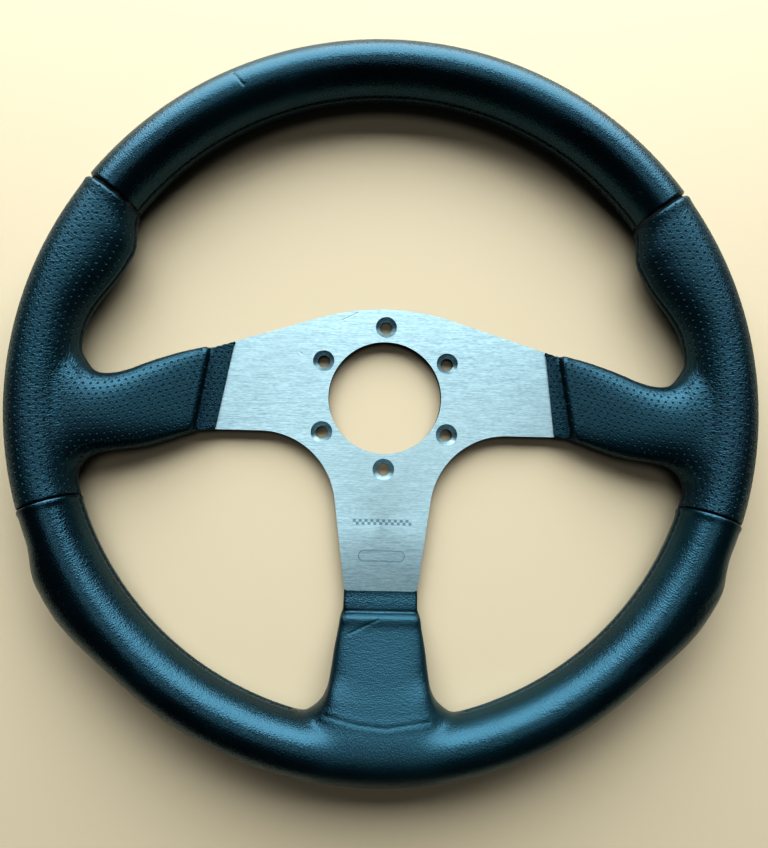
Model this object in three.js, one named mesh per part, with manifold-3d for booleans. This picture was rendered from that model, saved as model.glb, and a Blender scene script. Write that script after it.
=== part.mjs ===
// Three-spoke motorsport steering wheel, lying face up.
//
// Units are millimetres. +Z is the steering axis towards the driver, +Y is 12 o'clock and +X is the
// driver's right. The origin is on the steering axis, in the plane that the back of the rim rests on.
//
// An aluminium spoke plate is riveted to a flat hoop, polyurethane foam is moulded around both, and
// four leather covers are glued over the foam and sewn shut on the inside of the rim.

import * as THREE from 'three';
import { mergeVertices } from 'three/addons/utils/BufferGeometryUtils.js';
import Module from 'manifold-3d';

// ---------------------------------------------------------------------------- driving dimensions

const RIM_OUTER_RADIUS = 176;
const RIM_HALF_WIDTH = 13.5;
const RIM_HALF_DEPTH = 16.5;
const RIM_CENTRE_RADIUS = RIM_OUTER_RADIUS - RIM_HALF_WIDTH;
const RIM_STEPS = 54;
const RIM_SIDES = 12;

const PLATE_FRONT_Z = 6.5;
const PLATE_THICKNESS = 4;
const PLATE_CHAMFER = 0.5;
const HUB_BORE_RADIUS = 27.5;
const BOLT_CIRCLE_RADIUS = 35;
const BOLT_COUNT = 6;
const FIRST_BOLT = 30;
const BOLT_HOLE_RADIUS = 3;
const COUNTERSINK_RADIUS = 5.2;
const COUNTERSINK_DEPTH = 2.2;
const HOLE_SIDES = 16;

const LEATHER = 1.2;
const GAP = 0.3;
const THREAD_RADIUS = 0.55;
const SEAM_GROOVE_RADIUS = 0.95;

const HOOP_HALF_WIDTH = 5;
const HOOP_THICKNESS = 5;
const ARM_RISE = 7;
const CLIMB_START = 100;
const CLIMB_END = 140;
const RIVET_SHANK_RADIUS = 2;
const RIVET_HEAD_RADIUS = 3.6;
const RIVET_HEAD_HEIGHT = 1.5;
const RIVET_SPACING = 12;
const RIVET_SIDES = 10;

// Where one leather cover ends and the next begins, in degrees above 3 o'clock on the right half.
const UPPER_JOINT = 35;
const LOWER_JOINT = -19.5;
const UPPER_JOINT_GAP = 1.6;
const LOWER_JOINT_GAP = 0.5;

// Cutting tools reach well past the wheel on every side.
const BELOW_ALL = -10;
const ABOVE_ALL = 50;
const PAST_RIM = 260;

const PLATE_BACK_Z = PLATE_FRONT_Z - PLATE_THICKNESS;
const HOOP_Z = PLATE_FRONT_Z + ARM_RISE + GAP;
const degrees = THREE.MathUtils.degToRad;

// --------------------------------------------------------------------------------- solid helpers

const wasm = await Module();
wasm.setup();

/** Turns a closed three.js geometry into a solid that can be joined and cut. */
function solid(geometry) {
  const bare = geometry.clone();
  bare.deleteAttribute('normal');
  bare.deleteAttribute('uv');
  const merged = mergeVertices(bare, 1e-4);
  return new wasm.Manifold(new wasm.Mesh({
    numProp: 3,
    vertProperties: new Float32Array(merged.attributes.position.array),
    triVerts: new Uint32Array(merged.index.array),
  }));
}

/** The left-hand twin of a right-hand geometry. */
function mirrored(geometry) {
  const twin = mergeVertices(geometry);
  twin.scale(-1, 1, 1);
  const index = twin.index.array;
  for (let i = 0; i < index.length; i += 3) {
    [index[i], index[i + 1]] = [index[i + 1], index[i]];
  }
  return twin;
}

/** A right-hand or left-hand solid: side is 1 for the driver's right and -1 for the left. */
function handed(geometry, side) {
  return solid(side > 0 ? geometry : mirrored(geometry));
}

function join(solids) {
  return solids.reduce((sum, next) => sum.add(next));
}

/** A shape in the plan view, made solid between two heights. */
function slab(shape, low, high) {
  const geometry = new THREE.ExtrudeGeometry(shape, {
    depth: high - low,
    bevelEnabled: false,
    curveSegments: 12,
  });
  return geometry.translate(0, 0, low);
}

function polygon(points) {
  return new THREE.Shape(points.map(([x, y]) => new THREE.Vector2(x, y)));
}

function disc(radius, low, high, x, y, sides = HOLE_SIDES) {
  const geometry = new THREE.CylinderGeometry(radius, radius, high - low, sides);
  geometry.rotateX(Math.PI / 2);
  return solid(geometry.translate(x, y, (low + high) / 2));
}

/** A rod along a smooth curve, with an even number of sides. */
function rod(points, radius, steps, sides) {
  const section = new THREE.Shape().absarc(0, 0, radius, 0, 2 * Math.PI);
  const path = new THREE.CatmullRomCurve3(points, false, 'centripetal');
  return new THREE.ExtrudeGeometry(section, { extrudePath: path, steps, curveSegments: sides / 2 });
}

/** The largest body of a solid, without the slivers that a cut can leave. */
function largestBody(piece) {
  return piece.decompose().reduce((best, next) => (next.volume() > best.volume() ? next : best));
}

function smooth(t) {
  return THREE.MathUtils.smoothstep(t, 0, 1);
}

// ------------------------------------------------------------------------------------ rim section

/** Angle above 3 o'clock, with the left half folded onto the right. */
function foldedAngle(x, y) {
  return THREE.MathUtils.radToDeg(Math.atan2(y, Math.abs(x)));
}

/** The outer edge swells into a palm rest just below each lower joint. */
function outerRadius(angle) {
  const palmRest = 4.4 * smooth((-24 - angle) / 6.5) * (1 - smooth((-34 - angle) / 15));
  return RIM_OUTER_RADIUS + palmRest;
}

/** The inner edge swells into a thumb rest just below each upper joint. */
function innerRadius(angle) {
  const thumbRest = smooth((36 - angle) / 8) * (1 - 0.75 * smooth((25 - angle) / 14));
  const fade = 1 - smooth((-8 - angle) / 11);
  return RIM_OUTER_RADIUS - 2 * RIM_HALF_WIDTH - 10 * thumbRest * fade;
}

/** The whole ring of the rim, its surface moved inwards by inset. */
function rimRing(inset) {
  const profile = [];
  for (let i = 0; i <= RIM_SIDES; i++) {
    const turn = (i / RIM_SIDES) * 2 * Math.PI;
    profile.push(new THREE.Vector2(RIM_CENTRE_RADIUS + Math.cos(turn), Math.sin(turn)));
  }
  const ring = new THREE.LatheGeometry(profile, RIM_STEPS);
  ring.rotateX(Math.PI / 2);
  const position = ring.attributes.position;
  for (let i = 0; i < position.count; i++) {
    const [x, y] = [position.getX(i), position.getY(i)];
    const radius = Math.hypot(x, y);
    const across = radius - RIM_CENTRE_RADIUS;
    const angle = foldedAngle(x, y);
    const reach = across > 0
      ? outerRadius(angle) - RIM_CENTRE_RADIUS
      : RIM_CENTRE_RADIUS - innerRadius(angle);
    const scale = (RIM_CENTRE_RADIUS + across * (reach - inset)) / radius;
    const z = RIM_HALF_DEPTH + position.getZ(i) * (RIM_HALF_DEPTH - inset);
    position.setXYZ(i, x * scale, y * scale, z);
  }
  return solid(ring);
}

// ------------------------------------------------------------------------------------ spoke pads

// Each row is one section across a pad: distance from the hub axis, the two edges, the back and
// front heights, and how square the section is (2 is an ellipse).
const SIDE_PAD = [
  { out: 87.2, top: 21.4, bottom: -17.9, low: 0.9, high: 10.0, square: 6 },
  { out: 88.6, top: 22.0, bottom: -18.9, low: 0.4, high: 11.4, square: 6 },
  { out: 94, top: 21.1, bottom: -20.8, low: 0.4, high: 12.8, square: 5 },
  { out: 104, top: 17.9, bottom: -24.2, low: 0.6, high: 15.0, square: 4 },
  { out: 114, top: 13.6, bottom: -27.0, low: 1.2, high: 17.4, square: 3.2 },
  { out: 123, top: 9.4, bottom: -28.6, low: 1.8, high: 19.8, square: 2.8 },
  { out: 131, top: 7.4, bottom: -29.9, low: 2.2, high: 22.0, square: 2.5 },
  { out: 137, top: 8.0, bottom: -32.0, low: 2.4, high: 23.6, square: 2.4 },
  { out: 141, top: 11.0, bottom: -35.5, low: 2.5, high: 24.8, square: 2.3 },
  { out: 144, top: 16.0, bottom: -42.0, low: 2.6, high: 26.0, square: 2.3 },
  { out: 153, top: 28.0, bottom: -49.0, low: 3.5, high: 28.0, square: 2.3 },
];
const BOTTOM_PAD = [
  { out: 101.6, top: 17.6, bottom: -17.6, low: 0.9, high: 10.0, square: 6 },
  { out: 103, top: 18.4, bottom: -18.4, low: 0.4, high: 11.4, square: 6 },
  { out: 108, top: 19.2, bottom: -19.2, low: 0.4, high: 12.8, square: 5 },
  { out: 118, top: 21.0, bottom: -21.0, low: 0.8, high: 15.8, square: 3.8 },
  { out: 128, top: 22.3, bottom: -22.3, low: 1.6, high: 19.0, square: 3 },
  { out: 136, top: 24.0, bottom: -24.0, low: 2.2, high: 21.8, square: 2.6 },
  { out: 141, top: 27.0, bottom: -27.0, low: 2.5, high: 23.8, square: 2.4 },
  { out: 144.5, top: 32.0, bottom: -32.0, low: 2.6, high: 25.2, square: 2.3 },
  { out: 153, top: 46.0, bottom: -46.0, low: 3.5, high: 28.0, square: 2.3 },
];
const PAD_SIDES = 12;
const CUFF_SLANT = 0.148;
const SLANT_END = 120;

/** Pushes a coordinate of the unit circle out towards a square. */
function squared(value, square) {
  return Math.abs(value) < 1e-6 ? 0 : Math.sign(value) * Math.abs(value) ** (2 / square);
}

/** Lofts a pad along +X through its sections, its surface moved inwards by inset. */
function loft(sections, inset, slant) {
  const pad = new THREE.CylinderGeometry(1, 1, 1, PAD_SIDES, sections.length - 1);
  const position = pad.attributes.position;
  for (let i = 0; i < position.count; i++) {
    const row = Math.round((0.5 - position.getY(i)) * (sections.length - 1));
    const { out, top, bottom, low, high, square } = sections[row];
    const across = squared(position.getX(i), square);
    const up = squared(position.getZ(i), square);
    const y = (top + bottom) / 2 + across * ((top - bottom) / 2 - inset);
    const z = (low + high) / 2 + up * ((high - low) / 2 - inset);
    const fade = 1 - smooth((out - sections[0].out) / (SLANT_END - sections[0].out));
    const x = out + (row < 2 ? inset : 0) - slant * y * fade;
    position.setXYZ(i, x, y, z);
  }
  return pad;
}

function sidePad(inset, side) {
  return handed(loft(SIDE_PAD, inset, CUFF_SLANT), side);
}

function bottomPad(inset) {
  return solid(loft(BOTTOM_PAD, inset, 0).rotateZ(-Math.PI / 2));
}

/** Everything that the leather covers outside the cuffs, its surface moved inwards by inset. */
function coveredBody(inset) {
  return join([rimRing(inset), sidePad(inset, 1), sidePad(inset, -1), bottomPad(inset)]);
}

// ------------------------------------------------------------------------------------ spoke plate

// The plate's crown is an arc, its shoulders are straight, and the two lower windows are round
// cornered. Where leather starts, each arm steps in by the leather's thickness.
const CROWN_TOP = 44;
const CROWN_RADIUS = 110;
const SHOULDER_SLOPE = degrees(17.6);
const CUFF_EDGE_X = 80;
const WAIST_Y = -17.5;
const WINDOW_RADIUS = 37.3;
const WINDOW_CENTRE_X = 60;
const WINDOW_TURN = degrees(8);
const FOOT_Y = -92;
const FOOT_HALF_WIDTH = 17.3;

const crownEndX = CROWN_RADIUS * Math.sin(SHOULDER_SLOPE);
const crownEndY = CROWN_TOP - CROWN_RADIUS * (1 - Math.cos(SHOULDER_SLOPE));

function shoulderY(x) {
  return crownEndY - (x - crownEndX) * Math.tan(SHOULDER_SLOPE);
}

/** The cuff's edge leans, so that it is square to the arm's middle line. */
function cuffEdgeX(y) {
  return CUFF_EDGE_X - CUFF_SLANT * y;
}

const SHOULDER_END_X = 76.3;
const ARM_PLAN = {
  top: [[60, 22], [SHOULDER_END_X, 23.4], [88.5, 17.4], [104, 12], [125, 1], [170, 1]],
  bottom: [[170, -21], [125, -21], [104, -16.4], [88.5, -14.6], [82.6, -15.8], [60, -15.8]],
};
const FOOT_PLAN = {
  top: [[80, 14.5], [92, 15.7], [103, 14.4], [125, 11], [170, 11]],
  bottom: [[170, -11], [125, -11], [103, -14.4], [92, -15.7], [80, -14.5]],
};

/** The visible plate, chamfered all round, with its bore. */
function hubPlate() {
  const windowY = WAIST_Y - WINDOW_RADIUS;
  const outline = new THREE.Shape();
  outline.moveTo(-FOOT_HALF_WIDTH, FOOT_Y);
  outline.lineTo(FOOT_HALF_WIDTH, FOOT_Y);
  outline.absarc(WINDOW_CENTRE_X, windowY, WINDOW_RADIUS, Math.PI - WINDOW_TURN, Math.PI / 2, true);
  outline.lineTo(cuffEdgeX(WAIST_Y), WAIST_Y);
  outline.lineTo(SHOULDER_END_X, shoulderY(SHOULDER_END_X));
  outline.absarc(0, CROWN_TOP - CROWN_RADIUS, CROWN_RADIUS,
    Math.PI / 2 - SHOULDER_SLOPE, Math.PI / 2 + SHOULDER_SLOPE, false);
  outline.lineTo(-SHOULDER_END_X, shoulderY(SHOULDER_END_X));
  outline.lineTo(-cuffEdgeX(WAIST_Y), WAIST_Y);
  outline.absarc(-WINDOW_CENTRE_X, windowY, WINDOW_RADIUS, Math.PI / 2, WINDOW_TURN, true);
  outline.closePath();
  const bore = new THREE.Path().absarc(0, 0, HUB_BORE_RADIUS, 0, 2 * Math.PI, false);
  outline.holes.push(bore);
  const geometry = new THREE.ExtrudeGeometry(outline, {
    depth: PLATE_THICKNESS - 2 * PLATE_CHAMFER,
    curveSegments: 18,
    bevelEnabled: true,
    bevelSegments: 1,
    bevelThickness: PLATE_CHAMFER,
    bevelSize: PLATE_CHAMFER,
    bevelOffset: -PLATE_CHAMFER,
  });
  return solid(geometry.translate(0, 0, PLATE_BACK_Z + PLATE_CHAMFER));
}

/** An arm that runs under the leather along +X, climbs to the hoop and ends past it. */
function arm(plan, grow) {
  const edges = [
    ...plan.top.map(([x, y]) => [x, y + grow]),
    ...plan.bottom.map(([x, y]) => [x, y - grow]),
  ];
  const [start, end] = [plan.top[0][0], plan.top.at(-1)[0] + grow];
  const outline = polygon(edges.map(([x, y]) => [Math.min(x + grow, end), y]));
  const [back, front] = [PLATE_BACK_Z - grow, PLATE_FRONT_Z + grow];
  const side = polygon([
    [start, back], [CLIMB_START, back], [CLIMB_END, back + ARM_RISE], [end, back + ARM_RISE],
    [end, front + ARM_RISE], [CLIMB_END, front + ARM_RISE], [CLIMB_START, front], [start, front],
  ]);
  return {
    outline: slab(outline, BELOW_ALL, ABOVE_ALL),
    side: slab(side, -PAST_RIM, PAST_RIM).rotateX(Math.PI / 2),
  };
}

function arms(grow) {
  const right = arm(ARM_PLAN, grow);
  const foot = arm(FOOT_PLAN, grow);
  foot.outline.rotateZ(-Math.PI / 2);
  foot.side.rotateZ(-Math.PI / 2);
  return [
    handed(right.outline, 1).intersect(handed(right.side, 1)),
    handed(right.outline, -1).intersect(handed(right.side, -1)),
    solid(foot.outline).intersect(solid(foot.side)),
  ];
}

// The straight hole runs up into the countersink, so that the two cut as one.
const SINK_OVERLAP = COUNTERSINK_DEPTH - 0.01;

function boltHole(index) {
  const turn = degrees(FIRST_BOLT + (360 / BOLT_COUNT) * index);
  const [x, y] = [BOLT_CIRCLE_RADIUS * Math.cos(turn), BOLT_CIRCLE_RADIUS * Math.sin(turn)];
  const sink = new THREE.CylinderGeometry(
    COUNTERSINK_RADIUS, BOLT_HOLE_RADIUS, COUNTERSINK_DEPTH, HOLE_SIDES);
  sink.rotateX(Math.PI / 2).translate(x, y, PLATE_FRONT_Z - COUNTERSINK_DEPTH / 2);
  return solid(sink).add(disc(BOLT_HOLE_RADIUS, BELOW_ALL, PLATE_FRONT_Z - SINK_OVERLAP, x, y));
}

// ------------------------------------------------------------------------------- hoop and rivets

const SIDE_ARM_MIDDLE_Y = -10;

/** Where each rivet stands: two through every arm, on the hoop's middle line. */
function rivetPlaces() {
  const places = [];
  for (const offset of [-RIVET_SPACING / 2, RIVET_SPACING / 2]) {
    const y = SIDE_ARM_MIDDLE_Y + offset;
    const x = Math.sqrt(RIM_CENTRE_RADIUS ** 2 - y ** 2);
    const name = offset < 0 ? 'lower' : 'upper';
    places.push({ name: `rivet_right_${name}`, x, y }, { name: `rivet_left_${name}`, x: -x, y });
    const footY = -Math.sqrt(RIM_CENTRE_RADIUS ** 2 - offset ** 2);
    places.push({ name: `rivet_bottom_${offset < 0 ? 'left' : 'right'}`, x: offset, y: footY });
  }
  return places;
}

/** A rivet through arm and hoop, grown all over by grow. */
function rivet({ x, y }, grow) {
  const underArm = PLATE_BACK_Z + ARM_RISE - GAP;
  const overHoop = HOOP_Z + HOOP_THICKNESS + GAP;
  const head = RIVET_HEAD_RADIUS + grow;
  const shank = RIVET_SHANK_RADIUS + grow;
  const profile = [
    [0, underArm - RIVET_HEAD_HEIGHT - grow], [head, underArm - RIVET_HEAD_HEIGHT - grow],
    [head, underArm + grow], [shank, underArm + grow], [shank, overHoop - grow],
    [head, overHoop - grow], [head, overHoop + RIVET_HEAD_HEIGHT + grow],
    [0, overHoop + RIVET_HEAD_HEIGHT + grow],
  ].map(([r, z]) => new THREE.Vector2(r, z));
  const turned = new THREE.LatheGeometry(profile, RIVET_SIDES).rotateX(Math.PI / 2);
  return solid(turned.translate(x, y, 0));
}

function rivetHole({ x, y }) {
  return disc(RIVET_SHANK_RADIUS + GAP, BELOW_ALL, ABOVE_ALL, x, y, RIVET_SIDES);
}

function hoop(grow) {
  const [inner, outer] = [-1, 1].map((sign) => RIM_CENTRE_RADIUS + sign * (HOOP_HALF_WIDTH + grow));
  const [low, high] = [HOOP_Z - grow, HOOP_Z + HOOP_THICKNESS + grow];
  const profile = [[inner, low], [outer, low], [outer, high], [inner, high], [inner, low]]
    .map(([r, z]) => new THREE.Vector2(r, z));
  return solid(new THREE.LatheGeometry(profile, RIM_STEPS).rotateX(Math.PI / 2));
}

// ---------------------------------------------------------------------------------------- covers

/** The leather that is turned down onto the metal, as an outer sleeve and the room inside it. */
function cuffs() {
  const [low, high] = [PLATE_BACK_Z - GAP - LEATHER, PLATE_FRONT_Z + GAP + LEATHER];
  const top = shoulderY(SHOULDER_END_X);
  const right = slab(polygon([
    [SHOULDER_END_X + GAP, top], [83, 22.8], [90, 21.2], [93, -18.6],
    [cuffEdgeX(WAIST_Y) + GAP, WAIST_Y],
  ]), low, high);
  const foot = slab(polygon([
    [FOOT_HALF_WIDTH, FOOT_Y - GAP], [-FOOT_HALF_WIDTH, FOOT_Y - GAP], [-17.6, -104], [17.6, -104],
  ]), low, high);
  return [handed(right, 1), handed(right, -1), solid(foot)];
}

/** A wedge of the wheel between two angles in degrees. */
function wedge(from, to) {
  const shape = new THREE.Shape();
  shape.moveTo(0, 0);
  shape.lineTo(PAST_RIM * Math.cos(degrees(from)), PAST_RIM * Math.sin(degrees(from)));
  shape.absarc(0, 0, PAST_RIM, degrees(from), degrees(to), false);
  shape.closePath();
  return solid(slab(shape, BELOW_ALL, ABOVE_ALL));
}

/** A thin radial blade that parts two covers at an angle. */
function jointBlade(angle, width) {
  const blade = new THREE.BoxGeometry(4 * RIM_HALF_WIDTH, width, 4 * RIM_HALF_DEPTH);
  return solid(blade.translate(RIM_CENTRE_RADIUS, 0, RIM_HALF_DEPTH).rotateZ(degrees(angle)));
}

// ----------------------------------------------------------------------------------------- seams

const SEAM_DEPTH = LEATHER / 2;

function onInnerRim(angle) {
  const folded = Math.abs(angle) > 90 ? Math.sign(angle) * 180 - angle : angle;
  const radius = innerRadius(folded) + SEAM_DEPTH;
  const turn = degrees(angle);
  return new THREE.Vector3(radius * Math.cos(turn), radius * Math.sin(turn), RIM_HALF_DEPTH);
}

function arcOfRim(from, to, count) {
  return Array.from({ length: count + 1 }, (_, i) => onInnerRim(from + ((to - from) * i) / count));
}

/** Along the upper edge of a side pad, from the cuff out to the rim. */
function alongPadTop() {
  return SIDE_PAD.slice(2, 10).map(({ out, top, low, high }) => {
    const fade = 1 - smooth((out - SIDE_PAD[0].out) / (SLANT_END - SIDE_PAD[0].out));
    return new THREE.Vector3(out - CUFF_SLANT * top * fade, top - SEAM_DEPTH, (low + high) / 2);
  });
}

/** Along the back of the bottom pad, from the cuff out to the rim. */
function alongFootBack() {
  return BOTTOM_PAD.slice(2, 8).map(({ out, low }) => new THREE.Vector3(0, -out, low + SEAM_DEPTH));
}

const JOINT_CLEARANCE = 0.6;
const SEAMS = [
  { name: 'seam_thread_top', side: 1, steps: 24,
    points: arcOfRim(UPPER_JOINT + 5, 175 - UPPER_JOINT, 24) },
  { name: 'seam_thread_bottom_spoke', side: 1, steps: 8, points: alongFootBack() },
];
for (const [hand, side] of [['right', 1], ['left', -1]]) {
  SEAMS.push(
    { name: `seam_thread_${hand}_grip`, side, steps: 26,
      points: [...alongPadTop(), ...arcOfRim(11, UPPER_JOINT - JOINT_CLEARANCE, 10)] },
    { name: `seam_thread_${hand}_lower_grip`, side, steps: 3,
      points: arcOfRim(LOWER_JOINT + JOINT_CLEARANCE, -17.2, 3) },
    { name: `seam_thread_${hand}_bottom`, side, steps: 12,
      points: arcOfRim(LOWER_JOINT - JOINT_CLEARANCE, -74.5, 14) },
  );
}

// -------------------------------------------------------------------------------------- assembly

const COLOURS = {
  brushedAluminium: { color: 0xb9c6cc, roughness: 0.35, metalness: 1 },
  bareAluminium: { color: 0x9a9d9f, roughness: 0.5, metalness: 1 },
  steel: { color: 0x8c8f92, roughness: 0.4, metalness: 1 },
  foam: { color: 0x1c1c1e, roughness: 0.95, metalness: 0 },
  smoothLeather: { color: 0x10191d, roughness: 0.42, metalness: 0 },
  perforatedLeather: { color: 0x0e1518, roughness: 0.55, metalness: 0 },
  thread: { color: 0x0b0c0d, roughness: 0.8, metalness: 0 },
};

const wheel = new THREE.Group();

function addPiece(name, piece, finish) {
  const { vertProperties, triVerts } = piece.getMesh();
  const geometry = new THREE.BufferGeometry();
  geometry.setAttribute('position', new THREE.BufferAttribute(vertProperties, 3));
  geometry.setIndex(new THREE.BufferAttribute(triVerts, 1));
  geometry.computeVertexNormals();
  const mesh = new THREE.Mesh(geometry, new THREE.MeshStandardMaterial(COLOURS[finish]));
  mesh.name = name;
  wheel.add(mesh);
}

const rivets = rivetPlaces();
const rivetHoles = join(rivets.map(rivetHole));
const boltHoles = join(Array.from({ length: BOLT_COUNT }, (_, i) => boltHole(i)));
const grownArms = join(arms(GAP));

function seamGrooves(seams) {
  return join(seams.map(({ points, side, steps }) => (
    handed(rod(points, SEAM_GROOVE_RADIUS, steps, 6), side))));
}

const spokePlate = join([hubPlate(), ...arms(0)]).subtract(boltHoles).subtract(rivetHoles);
addPiece('spoke_plate', spokePlate, 'brushedAluminium');
addPiece('rim_hoop', hoop(0).subtract(rivetHoles), 'bareAluminium');
for (const place of rivets) {
  addPiece(place.name, rivet(place, 0), 'steel');
}

const metalRoom = join([grownArms, hoop(GAP), ...rivets.map((place) => rivet(place, GAP))]);
const gripSeams = SEAMS.filter(({ name }) => name.endsWith('t_grip'));
const foam = coveredBody(LEATHER + GAP).subtract(metalRoom).subtract(seamGrooves(gripSeams));
addPiece('foam_body', largestBody(foam), 'foam');

const leather = join([coveredBody(0), ...cuffs()])
  .subtract(coveredBody(LEATHER))
  .subtract(grownArms)
  .subtract(seamGrooves(SEAMS))
  .subtract(join([
    jointBlade(UPPER_JOINT, UPPER_JOINT_GAP), jointBlade(180 - UPPER_JOINT, UPPER_JOINT_GAP),
    jointBlade(LOWER_JOINT, LOWER_JOINT_GAP), jointBlade(180 - LOWER_JOINT, LOWER_JOINT_GAP),
  ]));
const COVERS = [
  ['leather_top', UPPER_JOINT, 180 - UPPER_JOINT, 'smoothLeather'],
  ['leather_left_grip', 180 - UPPER_JOINT, 180 - LOWER_JOINT, 'perforatedLeather'],
  ['leather_bottom', 180 - LOWER_JOINT, 360 + LOWER_JOINT, 'smoothLeather'],
  ['leather_right_grip', LOWER_JOINT, UPPER_JOINT, 'perforatedLeather'],
];
for (const [name, from, to, finish] of COVERS) {
  addPiece(name, largestBody(leather.intersect(wedge(from, to))), finish);
}
for (const { name, points, side, steps } of SEAMS) {
  addPiece(name, handed(rod(points, THREAD_RADIUS, steps, 4), side), 'thread');
}

export default wheel;
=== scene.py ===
"""Three-spoke leather steering wheel, lying face up on a pale floor.

Blender works in metres. +Z is the steering axis towards the driver, +Y is 12 o'clock and +X is the
driver's right. Drawing sizes are in millimetres, and pass through MM on their way to a mesh.
"""
import math

import bpy
import numpy as np
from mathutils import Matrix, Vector


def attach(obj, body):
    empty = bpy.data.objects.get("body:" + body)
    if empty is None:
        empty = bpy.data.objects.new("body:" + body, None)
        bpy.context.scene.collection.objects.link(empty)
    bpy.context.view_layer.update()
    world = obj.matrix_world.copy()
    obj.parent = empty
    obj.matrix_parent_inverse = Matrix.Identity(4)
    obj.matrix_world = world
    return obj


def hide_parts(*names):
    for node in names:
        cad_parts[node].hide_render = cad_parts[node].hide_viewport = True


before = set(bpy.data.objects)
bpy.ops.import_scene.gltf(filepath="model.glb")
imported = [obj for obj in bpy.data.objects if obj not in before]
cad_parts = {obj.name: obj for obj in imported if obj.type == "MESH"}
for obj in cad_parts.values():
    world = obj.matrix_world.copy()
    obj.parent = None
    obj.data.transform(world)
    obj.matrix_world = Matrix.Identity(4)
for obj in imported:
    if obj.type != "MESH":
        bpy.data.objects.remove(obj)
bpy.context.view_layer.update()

MM = 0.001

# ------------------------------------------------------------------------------- drawing sizes, mm

RIM_OUTER = 176.0
RIM_HALF_WIDTH = 13.5
RIM_HALF_DEPTH = 16.5
RIM_CENTRE = RIM_OUTER - RIM_HALF_WIDTH
PLATE_FRONT = 6.5
PLATE_BACK = 2.5
LEATHER = 1.2
GAP = 0.3
LOWEST = (-999, -999, 0)
UPPER_JOINT = 35.0
LOWER_JOINT = -19.5
VOXEL = 1.0

# Sections across a pad: distance out from the hub, the two edges, the back, the front, and how
# square the section is (2 is an ellipse).
SIDE_PAD = np.array([
    [87.2, 21.4, -17.9, 0.9, 10.0, 6],
    [88.6, 22.0, -18.9, 0.4, 12.2, 7],
    [94.0, 21.1, -20.8, 0.4, 13.3, 6],
    [104.0, 17.9, -24.2, 0.6, 15.0, 4],
    [114.0, 13.6, -27.0, 1.2, 17.4, 3.2],
    [123.0, 9.4, -28.6, 1.8, 19.8, 2.8],
    [131.0, 7.4, -29.9, 2.2, 22.0, 2.5],
    [137.0, 8.0, -32.0, 2.4, 23.6, 2.4],
    [141.0, 11.0, -35.5, 2.5, 24.8, 2.3],
    [144.0, 16.0, -42.0, 2.6, 26.0, 2.3],
    [153.0, 28.0, -49.0, 3.5, 28.0, 2.3],
])
FOOT_PAD = np.array([
    [101.6, 17.6, -17.6, 0.9, 10.0, 8],
    [103.0, 18.4, -18.4, 0.4, 12.2, 8],
    [108.0, 19.2, -19.2, 0.4, 13.6, 7],
    [118.0, 21.0, -21.0, 0.8, 16.9, 5.5],
    [128.0, 22.3, -22.3, 1.6, 20.5, 4.4],
    [136.0, 24.0, -24.0, 2.2, 23.4, 3.6],
    [141.0, 27.0, -27.0, 2.5, 25.2, 3.0],
    [144.5, 32.0, -32.0, 2.6, 26.4, 2.6],
    [153.0, 46.0, -46.0, 3.5, 28.8, 2.3],
])
# The foot's front climbs to the crown of the rim: distance out from the hub and height.
FOOT_CROWN = np.array([
    [130.0, 21.2], [136.0, 23.5], [143.0, 26.3], [149.0, 28.8], [154.0, 30.8], [158.0, 32.1],
    [162.5, 33.0]])
CUFF_SLANT = 0.148
SLANT_END = 120.0

# The plate's crown is an arc, its shoulders are straight and its lower windows are round.
CROWN_TOP = 44.0
CROWN_RADIUS = 110.0
SHOULDER_SLOPE = math.radians(17.6)
WAIST = -17.5
WINDOW_RADIUS = 37.3
WINDOW_X = 60.0
WINDOW_TURN = math.radians(8)
FOOT_Y = -92.0
FOOT_HALF_WIDTH = 17.3
BORE_RADIUS = 27.5
BOLT_CIRCLE = 35.0
BOLT_HOLE = 3.0
COUNTERSINK = 5.2
COUNTERSINK_DEPTH = 2.2
# Where the leather starts along the plate's top and bottom edge. The two cuffs were cut by hand
# and are not quite alike.
CUFF_TOP_X = {1: 78.7, -1: -73.9}
CUFF_BOTTOM_X = {1: 82.9, -1: -81.5}


def smooth(t):
    t = np.clip(t, 0.0, 1.0)
    return t * t * (3 - 2 * t)


def shoulder_y(x):
    end_x = CROWN_RADIUS * math.sin(SHOULDER_SLOPE)
    end_y = CROWN_TOP - CROWN_RADIUS * (1 - math.cos(SHOULDER_SLOPE))
    return end_y - (abs(x) - end_x) * math.tan(SHOULDER_SLOPE)


def folded_angle(x, y):
    """Degrees above 3 o'clock, with the left half folded onto the right."""
    return np.degrees(np.arctan2(y, np.abs(x)))


def outer_radius(angle):
    """The outer edge swells into a palm rest just below each lower joint."""
    return RIM_OUTER + 4.4 * smooth((-24 - angle) / 6.5) * (1 - smooth((-34 - angle) / 15))


def inner_radius(angle):
    """The inner edge swells into a thumb rest just below each upper joint."""
    thumb = smooth((36 - angle) / 8) * (1 - 0.75 * smooth((25 - angle) / 14))
    return RIM_OUTER - 2 * RIM_HALF_WIDTH - 10 * thumb * (1 - smooth((-8 - angle) / 11))


# -------------------------------------------------------------------------------- modelling steps


def only(*objects):
    """Selects these objects and nothing else; the last one is active."""
    bpy.ops.object.select_all(action="DESELECT")
    for one in objects:
        one.select_set(True)
    bpy.context.view_layer.objects.active = objects[-1]


def named(name):
    """The active object, which has just been made, with its name."""
    piece = bpy.context.active_object
    piece.name = piece.data.name = name
    return piece


def read(collection, key, width=1, kind=float):
    values = np.empty(len(collection) * width, kind)
    collection.foreach_get(key, values)
    return values.reshape(-1, width) if width > 1 else values


def points_of(piece):
    return read(piece.data.vertices, "co", 3) / MM


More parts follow.
